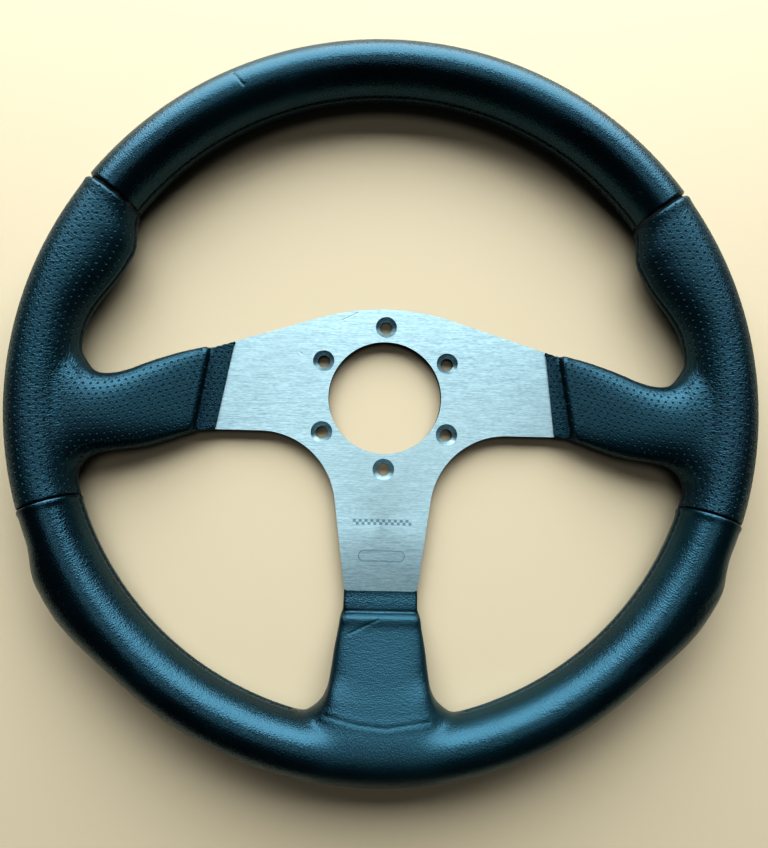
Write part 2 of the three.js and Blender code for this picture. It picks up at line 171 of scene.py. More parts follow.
def set_points(piece, points):
    piece.data.vertices.foreach_set("co", (np.asarray(points) * MM).ravel())
    piece.data.update()


def normals_of(piece):
    return read(piece.data.vertices, "normal", 3)


def edit(piece):
    only(piece)
    bpy.ops.object.mode_set(mode="EDIT")


def done():
    bpy.ops.object.mode_set(mode="OBJECT")


def select(piece, chosen, domain="vertices"):
    """Selects vertices or polygons by a mask and stays in edit mode."""
    edit(piece)
    bpy.ops.mesh.select_mode(type="VERT" if domain == "vertices" else "FACE")
    bpy.ops.mesh.select_all(action="DESELECT")
    done()
    getattr(piece.data, domain).foreach_set("select", np.asarray(chosen, bool))
    edit(piece)


def modifier(piece, kind, **settings):
    """Adds a modifier and applies it."""
    only(piece)
    added = piece.modifiers.new(kind.title(), kind)
    for key, value in settings.items():
        setattr(added, key, value)
    bpy.ops.object.modifier_apply(modifier=added.name)


def clean(piece, merge=1e-6):
    edit(piece)
    bpy.ops.mesh.select_all(action="SELECT")
    bpy.ops.mesh.remove_doubles(threshold=merge)
    bpy.ops.mesh.normals_make_consistent(inside=False)
    done()


def copy_of(piece, name):
    only(piece)
    bpy.ops.object.duplicate()
    return named(name)


def join(name, pieces):
    only(*pieces)
    bpy.ops.object.join()
    return named(name)


def shade(piece, angle):
    only(piece)
    bpy.ops.object.shade_smooth_by_angle(angle=math.radians(angle))


def slab(name, outline, low, high):
    """A flat outline in the plan view, made solid between two heights."""
    bpy.ops.mesh.primitive_circle_add(vertices=len(outline), radius=MM, fill_type="NGON")
    piece = named(name)
    set_points(piece, [(x, y, low) for x, y in outline])
    edit(piece)
    bpy.ops.mesh.select_all(action="SELECT")
    bpy.ops.mesh.extrude_region_move(
        TRANSFORM_OT_translate={"value": (0, 0, (high - low) * MM)})
    done()
    clean(piece)
    return piece


def arc(centre, radius, start, end, steps):
    turns = np.linspace(start, end, steps)
    return [(centre[0] + radius * math.cos(t), centre[1] + radius * math.sin(t)) for t in turns]


# -------------------------------------------------------------------- form that the leather covers

PAD_ROWS = 48
PAD_SIDES = 56
RING_STEPS = 288
RING_SIDES = 48


def squared(value, power):
    return np.sign(value) * np.abs(value) ** (2 / power)


def eased(rows, values, place):
    """A smooth curve through the drawing's rows."""
    slopes = np.gradient(values, rows)
    i = np.clip(np.searchsorted(rows, place) - 1, 0, len(rows) - 2)
    step = rows[i + 1] - rows[i]
    t = (place - rows[i]) / step
    before = (1 + 2 * t) * (1 - t) ** 2 * values[i] + t * (1 - t) ** 2 * step * slopes[i]
    after = t ** 2 * (3 - 2 * t) * values[i + 1] + t ** 2 * (t - 1) * step * slopes[i + 1]
    return before + after


def pad_section(sections, out):
    """Edges, back, front and squareness of a pad, at distances out from the hub."""
    out = np.clip(out, sections[0, 0], sections[-1, 0])
    return [eased(sections[:, 0], column, out) for column in sections.T[1:]]


def lofted_pad(name, sections, slant):
    """A disc is extruded row by row, and every row is then opened out to its section."""
    bpy.ops.mesh.primitive_circle_add(vertices=PAD_SIDES, radius=MM, fill_type="NGON")
    pad = named(name)
    first, second, last = sections[0, 0], sections[1, 0], sections[-1, 0]
    outs = np.concatenate([[first], np.linspace(second, last, PAD_ROWS)])
    edit(pad)
    bpy.ops.mesh.select_all(action="SELECT")
    for _ in outs[1:]:
        bpy.ops.mesh.extrude_region_move(TRANSFORM_OT_translate={"value": (0, 0, MM)})
    done()
    points = points_of(pad)
    turn = np.arctan2(points[:, 1], points[:, 0])
    out = outs[np.round(points[:, 2]).astype(int)]
    top, bottom, low, high, square = pad_section(sections, out)
    y = (top + bottom) / 2 + squared(np.cos(turn), square) * (top - bottom) / 2
    z = (low + high) / 2 + squared(np.sin(turn), square) * (high - low) / 2
    fade = 1 - smooth((out - first) / (SLANT_END - first))
    set_points(pad, np.column_stack([out - slant * y * fade, y, z]))
    clean(pad)
    return pad


def rim_ring(name):
    bpy.ops.mesh.primitive_torus_add(
        major_segments=RING_STEPS, minor_segments=RING_SIDES,
        major_radius=RIM_CENTRE * MM, minor_radius=MM)
    ring = named(name)
    points = points_of(ring)
    radius = np.hypot(points[:, 0], points[:, 1])
    across = radius - RIM_CENTRE
    angle = folded_angle(points[:, 0], points[:, 1])
    reach = np.where(across > 0, outer_radius(angle) - RIM_CENTRE, RIM_CENTRE - inner_radius(angle))
    points[:, :2] *= ((RIM_CENTRE + across * reach) / radius)[:, None]
    points[:, 2] = RIM_HALF_DEPTH * (1 + points[:, 2])
    set_points(ring, points)
    return ring


def cuff_line(side):
    """The leather's edge on a side arm: its ends at the top and bottom, and the way to the hub."""
    top = np.array([CUFF_TOP_X[side], shoulder_y(CUFF_TOP_X[side])])
    bottom = np.array([CUFF_BOTTOM_X[side], WAIST])
    along = (top - bottom) / np.linalg.norm(top - bottom)
    return top, bottom, np.array([-side * along[1], side * along[0]])


def cuff_sleeves():
    """Leather turned down onto the metal, left 4 mm too long towards the hub."""
    low, high = PLATE_BACK - GAP - LEATHER, PLATE_FRONT + GAP + LEATHER
    spare = 4.0
    sleeves = []
    for side in (1, -1):
        start = CUFF_TOP_X[side] - side * spare
        sleeves.append(slab(f"sleeve_{side}", [
            (start, shoulder_y(start)), (side * 83, 22.8), (side * 90, 21.2), (side * 93, -18.6),
            (CUFF_BOTTOM_X[side] - side * spare, WAIST),
        ], low, high))
    sleeves.append(slab("sleeve_foot", [
        (FOOT_HALF_WIDTH, FOOT_Y + spare), (-FOOT_HALF_WIDTH, FOOT_Y + spare),
        (-17.6, -104), (17.6, -104),
    ], low, high))
    return sleeves


def soften(piece, weights, rounds):
    """Smooths a mesh more where the weights are higher."""
    group = piece.vertex_groups.new(name="soften")
    levels = np.round(np.clip(weights, 0, 1) * 10).astype(int)
    for level in range(1, 11):
        group.add(np.flatnonzero(levels == level).tolist(), level / 10, "REPLACE")
    modifier(piece, "SMOOTH", factor=0.5, iterations=rounds, vertex_group="soften")
    piece.vertex_groups.clear()


def crowned_foot(points, facing):
    """Fills the dip between the foot and the rim, so that the front runs straight over it."""
    x, y, z = points.T
    radius = np.hypot(x, y)
    height = np.interp(radius, *FOOT_CROWN.T)
    middle = (1 - smooth((np.abs(x) - 14) / 18)) * smooth((radius - 128) / 12)
    front = (facing > 0.2) & (z > height - 8) & (y < 0) & (radius < 162.5)
    lift = np.maximum(height - z, 0) * middle * front
    return np.column_stack([x, y, z + lift])


def covered_form():
    """Ring, pads and cuff sleeves melted into one smooth body."""
    right = lofted_pad("right_pad", SIDE_PAD, CUFF_SLANT)
    left = copy_of(right, "left_pad")
    set_points(left, points_of(left) * [-1, 1, 1])
    clean(left)
    foot = lofted_pad("foot_pad", FOOT_PAD, 0)
    x, y, z = points_of(foot).T
    set_points(foot, np.column_stack([y, -x, z]))
    form = join("form", [*cuff_sleeves(), right, left, foot, rim_ring("ring")])
    modifier(form, "REMESH", mode="VOXEL", voxel_size=VOXEL * MM)
    x, y, z = points_of(form).T
    radius = np.hypot(x, y)
    cuff = np.maximum(smooth((radius - 86) / 14), 0.35)
    soften(form, cuff, 8)
    x, y, z = points_of(form).T
    on_foot = np.abs(x) < 30
    past_edge = np.where(on_foot, -y + FOOT_Y, np.abs(x) + CUFF_SLANT * y - 79.5)
    rise = np.where(on_foot, 1.5, 0.7) * smooth(past_edge / 8) * (1 - smooth((past_edge - 8) / 3))
    on_cuff = (z > PLATE_FRONT) & (np.hypot(x, y) < 110)
    set_points(form, np.column_stack([x, y, z + np.where(on_cuff, rise, 0)]))
    set_points(form, crowned_foot(points_of(form), normals_of(form)[:, 2]))
    x, y, z = points_of(form).T
    side_fork = smooth((np.abs(x) - 126) / 12) * smooth((45 - np.abs(y + 8)) / 10)
    foot_fork = smooth((-y - 128) / 12) * smooth((58 - np.abs(x)) / 10)
    inner_half = smooth((RIM_CENTRE + 4 - np.hypot(x, y)) / 8)
    soften(form, np.maximum(side_fork, foot_fork) * inner_half, 40)
    return form


# ------------------------------------------------------------------------------------ leather work


def cut(piece, point, away, near=None):
    """Cuts off all that lies away from a point, or only what is near, and selects the open edge."""
    chosen = np.ones(len(piece.data.polygons), bool) if near is None else near
    select(piece, chosen, "polygons")
    bpy.ops.mesh.select_mode(type="VERT")
    bpy.ops.mesh.bisect(
        plane_co=Vector(point) * MM, plane_no=Vector(away), clear_outer=True, threshold=1e-4)
    bpy.ops.mesh.remove_doubles(threshold=1.5e-4)
    done()


def roll_edge(piece, away, reach, drop, flange):
    """Rolls the selected open edge through a quarter turn and then down into the joint."""
    away = np.array(away, float)
    chosen = read(piece.data.vertices, "select", kind=bool)
    base, out = points_of(piece)[chosen], normals_of(piece)[chosen]
    out -= (out @ away)[:, None] * away
    out /= np.linalg.norm(out, axis=1)[:, None]
    turns = np.radians([25, 50, 75, 90])
    rings = [base + away * reach * math.sin(t) - out * drop * (1 - math.cos(t)) for t in turns]
    rings.append(rings[-1] - out * flange)
    before = base
    for ring in rings:
        edit(piece)
        bpy.ops.mesh.extrude_edges_move()
        done()
        chosen = read(piece.data.vertices, "select", kind=bool)
        points = points_of(piece)
        gaps = np.linalg.norm(points[chosen][:, None] - before[None], axis=2)
        points[chosen] = ring[gaps.argmin(axis=1)]
        set_points(piece, points)
        before = ring


def up_the_rim(angle, side):
    """Square to a joint's plane, towards 12 o'clock."""
    turn = math.radians(angle)
    return np.array([-side * math.sin(turn), math.cos(turn), 0.0])


def end_cover(piece, angle, side, up, gap, reach, drop, flange):
    """Ends a cover at a joint, with its edge rolled over into the groove."""
    away = up_the_rim(angle, side) * (1 if up else -1)
    cut(piece, -away * (gap / 2 + reach), away)
    roll_edge(piece, away, reach, drop, flange)


def distance_below(points, angle, side, up):
    """How far points lie inside a cover from its joint plane."""
    away = up_the_rim(angle, side) * (1 if up else -1)
    return -points @ away


def open_cuff(piece, side):
    top, bottom, hubward = cuff_line(side)
    cut(piece, (*top, 0), (*hubward, 0))


def cuff_crease(side):
    """The line where a side cuff meets its pad."""
    heights = np.linspace(21.5, -18.5, 5)
    return [(side * (87.1 - CUFF_SLANT * y), y, 10.0) for y in heights]


def swell(piece, amount):
    """Moves a cover's skin in or out along its normals, by millimetres."""
    set_points(piece, points_of(piece) + normals_of(piece) * amount[:, None])


# Seams are sewn where the covers close: inside the rim, along each pad and behind the foot.

SEAM_STEP = 1.0
SEAM_WIDTH = 0.75
SEAM_DEPTH = 0.75
SEAM_PUFF = 0.22


def rim_seam(start, end):
    """Points inside the rim, where a cover's long edges meet."""
    count = int(abs(end - start) * math.radians(1) * RIM_CENTRE / SEAM_STEP)
    angles = np.linspace(start, end, max(count, 4))
    folded = np.where(angles > 90, 180 - angles, angles)
    radius = inner_radius(folded)
    turn = np.radians(angles)
    return np.column_stack([
        radius * np.cos(turn), radius * np.sin(turn), np.full(len(turn), RIM_HALF_DEPTH)])


def pad_seam(side):
    """Points along the upper edge of a side pad, from the cuff to the rim's inner edge."""
    out = np.linspace(90, 143, 54)
    top, _, low, high, _ = pad_section(SIDE_PAD, out)
    fade = 1 - smooth((out - SIDE_PAD[0, 0]) / (SLANT_END - SIDE_PAD[0, 0]))
    points = np.column_stack([out - CUFF_SLANT * top * fade, top, (low + high) / 2])
    return np.vstack([points, rim_seam(13, UPPER_JOINT + 1)]) * [side, 1, 1]


def foot_seam():
    out = np.linspace(98, 146, 48)
    low = pad_section(FOOT_PAD, out)[2]
    return np.column_stack([np.zeros_like(out), -out, low])


def on_skin(piece, path):
    """The nearest places on a piece's skin."""
    landed = []
    for point in path:
        found, place, _, _ = piece.closest_point_on_mesh(Vector(point) * MM)
        landed.append(np.array(place) / MM if found else point)
    return np.array(landed)


def settle(piece, path):
    """Brings a path onto a piece's skin and evens out its points."""
    path = np.array(path, float)
    if len(path) < 9:
        spots = np.linspace(0, len(path) - 1, 60)
        path = np.column_stack([np.interp(spots, range(len(path)), column) for column in path.T])
    landed = on_skin(piece, path)
    for _ in range(6):
        landed[1:-1] = (landed[:-2] + 2 * landed[1:-1] + landed[2:]) / 4
    steps = np.linalg.norm(np.diff(landed, axis=0), axis=1)
    run = np.concatenate([[0], np.cumsum(steps)])
    even = np.linspace(0, run[-1], int(run[-1] / SEAM_STEP) + 1)
    evened = np.column_stack([np.interp(even, run, column) for column in landed.T])
    return on_skin(piece, evened)


def distance_to(points, path):
    """Distance from each point to the nearest of a path's points, a batch at a time."""
    nearest = np.empty(len(points))
    batch = 4000
    for i in range(0, len(points), batch):
        gaps = points[i:i + batch, None] - path[None]
        nearest[i:i + batch] = np.sqrt((gaps ** 2).sum(axis=2).min(axis=1))
    return nearest


def distance_to_line(points, path):
    """Distance from each point to the broken line through a path."""
    nearest = np.full(len(points), np.inf)
    close = distance_to(points, path) < 8
    some = points[close]
    best = np.full(len(some), np.inf)
    for start, end in zip(path[:-1], path[1:]):
        along = end - start
        t = np.clip((some - start) @ along / (along @ along), 0, 1)
        best = np.minimum(best, np.linalg.norm(some - start - t[:, None] * along, axis=1))
    nearest[close] = best
    return nearest


def draw_line(piece, path, depth, width, puff=0.0):
    """The skin dips along a line and may puff up on both sides of it. All in millimetres."""
    path = settle(piece, path)
    centres = read(piece.data.polygons, "center", 3) / MM
    select(piece, distance_to(centres, path) < width + 1.2, "polygons")
    bpy.ops.mesh.subdivide(number_cuts=1)
    done()
    gap = distance_to_line(points_of(piece), path)
    near = np.isfinite(gap)
    gap[~near] = 0
    dip = -depth * np.exp(-(gap / width) ** 2)
    lips = puff * np.exp(-((gap - 3.2 * width) / (1.5 * width)) ** 2)
    swell(piece, np.where(near, dip + lips, 0))


# ----------------------------------------------------------------------- patterns on the leather

SPOKE_PITCH = 3.0
RIM_PITCH = 3.8
RIM_ROWS = 5.4 / 5.2
PATTERN_EDGE = 147.5
TUBE_RADIUS = 15.0


def spoke_layout(points, sections, turned):
    """Millimetres out along a pad and round its section."""
    x, y, z = points.T
    out, side_y = (-y, x) if turned else (np.abs(x), y)
    top, bottom, low, high, _ = pad_section(sections, out)
    half_y, half_z = (top - bottom) / 2, (high - low) / 2
    a = (side_y - (top + bottom) / 2) / half_y
    b = (z - (low + high) / 2) / half_z
    front = a * half_y
    flank = np.sign(a) * (half_y + half_z * (1 - b))
    behind = np.sign(a) * (2 * half_z + half_y * (2 - np.abs(a)))
    across = np.where(np.abs(b) >= np.abs(a), np.where(b > 0, front, behind), flank)
    across = np.where((out < sections[1, 0]) & (b > 0), front, across)
    return np.column_stack([out, across])


def rim_layout(points):
    """Millimetres round the rim and across it, shrunk so that one row pattern suits both zones."""
    x, y, z = points.T
    round_rim = np.radians(folded_angle(x, y)) * RIM_CENTRE * SPOKE_PITCH / RIM_PITCH
    across = np.arctan2(z - RIM_HALF_DEPTH, np.hypot(x, y) - RIM_CENTRE) * TUBE_RADIUS / RIM_ROWS
    return np.column_stack([round_rim, across])


def on_spoke(points):
    """True where the leather lies along a spoke and not round the rim."""
    x, y, _ = points.T
    side = (np.abs(x) < PATTERN_EDGE) & (y < 21) & (y > -42) & (np.abs(x) > 60)
    foot = (y < -60) & (y > -146) & (np.abs(x) < 30)
    return side | foot


def lay_pattern(piece, seams):
    """Writes the leather's own map, and where it is pierced, wrinkled or on a spoke."""
    mesh = piece.data
    corner = read(mesh.loops, "vertex_index", kind=np.int32)
    face = np.repeat(np.arange(len(mesh.polygons)), read(mesh.polygons, "loop_total", kind=np.int32))
    points, centres = points_of(piece), read(mesh.polygons, "center", 3) / MM
    spoke = on_spoke(centres)
    foot = centres[:, 1] < -80
    turn_round = 2 * math.pi * TUBE_RADIUS / RIM_ROWS
    layouts = []
    for places, chosen in ((points, corner), (centres, face)):
        rim = rim_layout(places)[chosen]
        side = spoke_layout(places, SIDE_PAD, False)[chosen]
        under = spoke_layout(places, FOOT_PAD, True)[chosen]
        layouts.append(np.where(
            (spoke & foot)[face][:, None], under, np.where(spoke[face][:, None], side, rim)))
    at_corner, at_centre = layouts
    jump = np.where(spoke[face], 0, np.round((at_centre - at_corner)[:, 1] / turn_round))
    at_corner[:, 1] += jump * turn_round
    layer = mesh.uv_layers.new(name="leather")
    layer.data.foreach_set("uv", at_corner.ravel())
    gap = np.full(len(points), 99.0)
    for path in seams:
        gap = np.minimum(gap, distance_to(points, path))
    x, y, _ = points.T
    radius = np.hypot(x, y)
    past_crease = np.abs(x) + CUFF_SLANT * y - 87.3
    marks = {"seam_gap": gap, "rim_side": smooth((radius - 134) / 14),
             "turned_down": 1 - smooth((past_crease + 1.2) / 2),
             "matt": smooth((34 - np.abs(x)) / 14) * smooth((-y - 98) / 8)}
    for name, values in marks.items():
        mark = mesh.attributes.new(name, "FLOAT", "POINT")
        mark.data.foreach_set("value", values)


# ------------------------------------------------------------------------------------- stitching

STITCH_PITCH = 4.2
STITCH_LENGTH = 3.0
THREAD = 0.38


def one_stitch():
    """A short length of thread that dives into the leather at both ends."""
    bpy.ops.mesh.primitive_cylinder_add(vertices=7, radius=THREAD * MM, depth=STITCH_LENGTH * MM)
    stitch = named("stitch")
    edit(stitch)
    bpy.ops.mesh.select_all(action="SELECT")
    bpy.ops.mesh.bisect(plane_co=(0, 0, 0), plane_no=(0, 0, 1))
    for place in (-1.1, -0.6, 0.6, 1.1):
        bpy.ops.mesh.select_all(action="SELECT")
        bpy.ops.mesh.bisect(plane_co=(0, 0, place * MM), plane_no=(0, 0, 1))
    done()
    x, y, z = points_of(stitch).T
    along = 2 * np.abs(z) / STITCH_LENGTH
    girth = 1 - 0.35 * along ** 3
    set_points(stitch, np.column_stack([z, x * girth, y * girth + 0.25 - 0.75 * along ** 2]))
    clean(stitch)
    return stitch


def sewn_thread(name, cover, path, lift=-0.5, slant=14):
    """Copies the stitch along a seam, each one lying on the leather and leaning a little."""
    rng = np.random.default_rng(7)
    stitch = one_stitch()
    shape = points_of(stitch)
    every = int(STITCH_PITCH / SEAM_STEP)
    stitches = []
    for i in range(1, len(path) - 1, every):
        along = path[i + 1] - path[i - 1]
        along /= np.linalg.norm(along)
        _, _, up, _ = cover.closest_point_on_mesh(Vector(path[i]) * MM)
        up = np.array(up) - (np.array(up) @ along) * along
        up /= np.linalg.norm(up)
        across = np.cross(up, along)
        lean = math.radians(slant + rng.normal(0, 3))
        first = along * math.cos(lean) + across * math.sin(lean)
        second = np.cross(up, first)
        place = path[i] + up * (lift + rng.normal(0, 0.04))
        stitches.append(copy_of(stitch, f"{name}_{i}"))
        set_points(stitches[-1], shape @ np.array([first, second, up]) + place)
    only(stitch)
    bpy.ops.object.delete()
    thread = join(name, stitches)
    clean(thread, 1e-9)
    shade(thread, 60)
    return thread


# ------------------------------------------------------------------------------------- hub plate


def plate_outline():
    """The plate's edge, anticlockwise from the foot, with the arms stepped in under the leather."""
    step = LEATHER + GAP
    window_y = WAIST - WINDOW_RADIUS
    foot = [(-14.7, -100), (14.7, -100), (FOOT_HALF_WIDTH - step, FOOT_Y - GAP),
            (FOOT_HALF_WIDTH, FOOT_Y)]
    window = arc((WINDOW_X, window_y), WINDOW_RADIUS, math.pi - WINDOW_TURN, math.pi / 2, 40)

    def side_arm(side):
        bottom_x, top_x = abs(CUFF_BOTTOM_X[side]), abs(CUFF_TOP_X[side])
        return [
            (side * x, y) for x, y in [
                (bottom_x, WAIST), (bottom_x + GAP, WAIST + step), (90, -14.9), (100, -15.8),
                (100, 13.1), (90, 16.9), (top_x + GAP, shoulder_y(top_x) - step),
                (top_x, shoulder_y(top_x)),
            ]]

    crown = arc((0, CROWN_TOP - CROWN_RADIUS), CROWN_RADIUS,
                math.pi / 2 - SHOULDER_SLOPE, math.pi / 2 + SHOULDER_SLOPE, 60)
    left_window = [(-x, y) for x, y in reversed(window)]
    left_arm = list(reversed(side_arm(-1)))
    return foot + window + side_arm(1) + crown + left_arm + left_window + [(-FOOT_HALF_WIDTH, FOOT_Y),
        (step - FOOT_HALF_WIDTH, FOOT_Y - GAP)]


def climb(plate, outward, reach, droop):
    """Extrudes an arm's end up and out to the hoop, narrower and lower down as it goes."""
    outward = np.array(outward, float)
    for distance, rise, sink, narrow in ((25, 4.4, droop, 0.76), (15, 2.6, 0, 1), (28, 0, 0, 1)):
        centres = read(plate.data.polygons, "center", 3) / MM
        normals = read(plate.data.polygons, "normal", 3)
        end = (centres @ outward > reach - 0.5) & (normals @ outward > 0.7)
        select(plate, end, "polygons")
        move = outward * distance + np.array([0, -sink, rise])
        bpy.ops.mesh.extrude_region_move(TRANSFORM_OT_translate={"value": tuple(move * MM)})
        bpy.ops.transform.resize(value=(narrow if outward[1] else 1, narrow if outward[0] else 1, 1))
        done()
        reach += distance


def carve(piece, tool):
    modifier(piece, "BOOLEAN", operation="DIFFERENCE", object=tool, solver="EXACT")
    only(tool)
    bpy.ops.object.delete()


def round_tool(x, y, low, high, radius, radius_high=None, sides=64):
    bpy.ops.mesh.primitive_cone_add(
        vertices=sides, radius1=radius * MM, radius2=(radius_high or radius) * MM,
        depth=(high - low) * MM, location=(x * MM, y * MM, (low + high) / 2 * MM))
    bpy.ops.object.transform_apply()
    return named("tool")


def bolt_places():
    turns = np.radians(30 + 60 * np.arange(6))
    return BOLT_CIRCLE * np.column_stack([np.cos(turns), np.sin(turns)])


def bare_metal(plate):
    """The front, the countersinks and the edges of the crown and the bore. The rest is black; on the
    bevels round the windows, arms and foot that black is also painted shade.
    """
    x, y, z = (read(plate.data.polygons, "center", 3) / MM).T
    facing = read(plate.data.polygons, "normal", 3)[:, 2]
    from_bolt = np.min([np.hypot(x - bx, y - by) for bx, by in bolt_places()], axis=0)
    front = (facing > 0.97) & (z > PLATE_FRONT - 0.05)
    # Only the crown's and the bore's bevels are bare; the other bevels stay black, partly as painted
    # shade along those edges.
    edge = (facing > 0.25) & (z > PLATE_FRONT - 1) & ((y > 15) | (np.hypot(x, y) < BORE_RADIUS + 1.3))
    countersink = (facing > 0.25) & (from_bolt < COUNTERSINK + 1)
    return front | edge | countersink


def hub_plate():
    plate = slab("hub_plate", plate_outline(), PLATE_BACK, PLATE_FRONT)
    climb(plate, (1, 0, 0), 100.0, 8.6)
    climb(plate, (-1, 0, 0), 100.0, 8.6)
    climb(plate, (0, -1, 0), 100.0, 0.0)
    carve(plate, round_tool(0, 0, 0, 10, BORE_RADIUS, sides=192))
    for x, y in bolt_places():
        carve(plate, round_tool(x, y, 0, 10, BOLT_HOLE))
        carve(plate, round_tool(x, y, PLATE_FRONT - COUNTERSINK_DEPTH, PLATE_FRONT + 0.4, BOLT_HOLE,
                                COUNTERSINK + 0.4))
    clean(plate, 1e-5)
    modifier(plate, "BEVEL", width=0.8 * MM, segments=3, limit_method="ANGLE",
             angle_limit=math.radians(38))
    shade(plate, 35)
    modifier(plate, "WEIGHTED_NORMAL", keep_sharp=True, weight=100)
    return plate


# ---------------------------------------------------------------------------------------- finishes


class Value:
    """A node's output that is reckoned with like a number."""

    def __init__(self, finish, socket):
        self.finish, self.socket = finish, socket

    def reckon(self, operation, *values):
        return self.finish.add("ShaderNodeMath", {"operation": operation}, *values)

    def only(self, operation):
        return self.reckon(operation, self)

    def __add__(self, other):
        return self.reckon("ADD", self, other)

    def __sub__(self, other):
        return self.reckon("SUBTRACT", self, other)

    def __rsub__(self, other):
        return self.reckon("SUBTRACT", other, self)

    def __mul__(self, other):
        return self.reckon("MULTIPLY", self, other)

    def __truediv__(self, other):
        return self.reckon("DIVIDE", self, other)

    def __abs__(self):
        return self.only("ABSOLUTE")

    __radd__ = __add__
    __rmul__ = __mul__


class Finish:
    """One material. Numbers that are the same all over are set on the shader itself."""

    def __init__(self, name, **shader):
        self.material = bpy.data.materials.new(name)
        self.material.use_nodes = True
        self.tree = self.material.node_tree
        self.shader = self.tree.nodes["Principled BSDF"]
        for key, value in shader.items():
            self.shader.inputs[key.replace("_", " ")].default_value = value

    def add(self, kind, settings=None, *values, out=0, **named_values):
        node = self.tree.nodes.new(kind)
        for key, value in (settings or {}).items():
            setattr(node, key, value)
        for key, value in [*enumerate(values), *named_values.items()]:
            socket = node.inputs[key.replace("_", " ") if isinstance(key, str) else key]
            if isinstance(value, Value):
                self.tree.links.new(value.socket, socket)
            else:
                socket.default_value = value
        return Value(self, node.outputs[out])

    def place(self):
        return self.add("ShaderNodeTexCoord", out="Object")

    def pattern(self):
        return self.add("ShaderNodeUVMap", {"uv_map": "leather"})

    def mark(self, name):
        return self.add("ShaderNodeAttribute", {"attribute_name": name}, out="Fac")

    def scaled(self, vector, x, y, z, turn=0.0):
        return self.add("ShaderNodeMapping", None, vector, Rotation=(0, 0, turn), Scale=(x, y, z))

    def parts(self, vector):
        split = self.add("ShaderNodeSeparateXYZ", None, vector)
        return [Value(self, output) for output in split.socket.node.outputs]

    def noise(self, vector, scale, detail=3.0, roughness=0.5, distortion=0.0):
        return self.add("ShaderNodeTexNoise", None, vector, Scale=scale, Detail=detail,
                        Roughness=roughness, Distortion=distortion)

    def noise_vector(self, vector, scale):
        return self.add("ShaderNodeTexNoise", None, vector, Scale=scale, out="Color")

    def cells(self, vector, scale, feature="F1"):
        return self.add("ShaderNodeTexVoronoi", {"feature": feature}, vector, Scale=scale)

    def span(self, value, low, high):
        """0 below low, 1 above high and smooth between, and the other way round if low is more."""
        return self.add("ShaderNodeMapRange", {"interpolation_type": "SMOOTHSTEP"}, value, low, high)

    def between(self, value, low, high):
        """Turns 0 to 1 into low to high."""
        return value * (high - low) + low

    def least(self, a, b):
        return a.reckon("MINIMUM", a, b)

    def most(self, a, b):
        return a.reckon("MAXIMUM", a, b)

    def mix(self, factor, a, b):
        node = self.tree.nodes.new("ShaderNodeMix")
        node.data_type = "RGBA"
        for index, value in ((0, factor), (6, a), (7, b)):
            if isinstance(value, Value):
                self.tree.links.new(value.socket, node.inputs[index])
            else:
                node.inputs[index].default_value = value if index == 0 else (*value, 1)
        return Value(self, node.outputs[2])

    def bump(self, height, distance, strength=1.0, onto=None):
        extra = {"Normal": onto} if onto else {}
        return self.add("ShaderNodeBump", None, Strength=strength, Distance=distance,
                        Height=height, **extra)

    def wear(self, **inputs):
        """Links values to the shader's sockets and gives the material."""
        for key, value in inputs.items():
            self.tree.links.new(value.socket, self.shader.inputs[key.replace("_", " ")])
        return self.material


LEATHER_DARK = (0.0006, 0.0034, 0.0050)
LEATHER_MID = (0.0012, 0.0120, 0.0145)
LEATHER_WORN = (0.0080, 0.0300, 0.0400)
DAYLIGHT_TINT = (0.32, 0.74, 0.96, 1.0)


def pebbles(f):
    """The leather's own grain: rounded cells with fine creases between them."""
    place = f.place()
    bent = f.add("ShaderNodeVectorMath", {"operation": "ADD"}, place,
                 f.scaled(f.noise_vector(place, 700.0), 0.0005, 0.0005, 0.0005))
    crease = f.span(f.cells(bent, 900.0, "DISTANCE_TO_EDGE"), 0.0, 0.30)
    return crease * 0.65 + f.noise(place, 2200.0) * 0.35


def lattice_gap(f, outward, around, pitch, rows):
    """Distance to the nearest of a staggered pattern of holes, in the map's millimetres."""

    def to_grid(shift):
        u = abs((outward / pitch + shift).only("FRACT") - 0.5) * pitch
        v = abs((around / rows + shift).only("FRACT") - 0.5) * rows
        return (u * u + v * v).only("SQRT")

    return f.least(to_grid(0.0), to_grid(0.5))


def perforated_leather():
    f = Finish("perforated_leather", Specular_IOR_Level=1.0, Specular_Tint=DAYLIGHT_TINT)
    pattern, place = f.pattern(), f.place()
    rim = f.mark("rim_side")
    sway = f.noise(place, 55.0, 1.0)
    outward, around, _ = f.parts(pattern)
    gap = lattice_gap(f, outward + (sway - 0.5) * 0.8, around + (sway - 0.5) * 0.6, 3.0, 5.2)
    away_from_seam = f.span(f.mark("seam_gap"), 3.4, 4.4)
    hole = f.span(gap, 0.58, 0.30) * away_from_seam
    cuff = f.mark("turned_down")
    wrinkle = f.noise(f.scaled(pattern, 1.15, 0.36, 1.0, 0.25), 1.0, 2.5, 0.55, 0.6)
    creased = f.span(f.noise(place, 19.0, 1.0), 0.42, 0.62) * rim
    fine = f.noise(f.scaled(pattern, 2.4, 0.8, 1.0, 0.2), 1.0, 2.0)
    grain = pebbles(f)
    patch = f.noise(place, 24.0, 2.0)
    colour = f.mix(f.span(patch, 0.35, 0.7), LEATHER_DARK, LEATHER_MID)
    colour = f.mix(f.span(wrinkle, 0.5, 0.72) * rim * 0.5, colour, LEATHER_WORN)
    # Each perforation is painted near-black: partly the dark foam showing through, partly painted
    # shade inside the hole.
    colour = f.mix(hole, colour, (0.0008, 0.0012, 0.0015))
    rough = f.between(f.span(patch, 0.3, 0.7), 0.42, 0.34) + hole * 0.4 + (0.5 - grain) * 0.12
    rough = rough + cuff * 0.25
    height = grain * (cuff * 0.3 + 0.16) + fine * 0.16 - hole * 0.8
    height = height + wrinkle * (creased * 0.34 + rim * 0.10 + 0.05)
    return f.wear(Base_Color=colour, Roughness=rough, Normal=f.bump(height, 0.0005, 1.0))


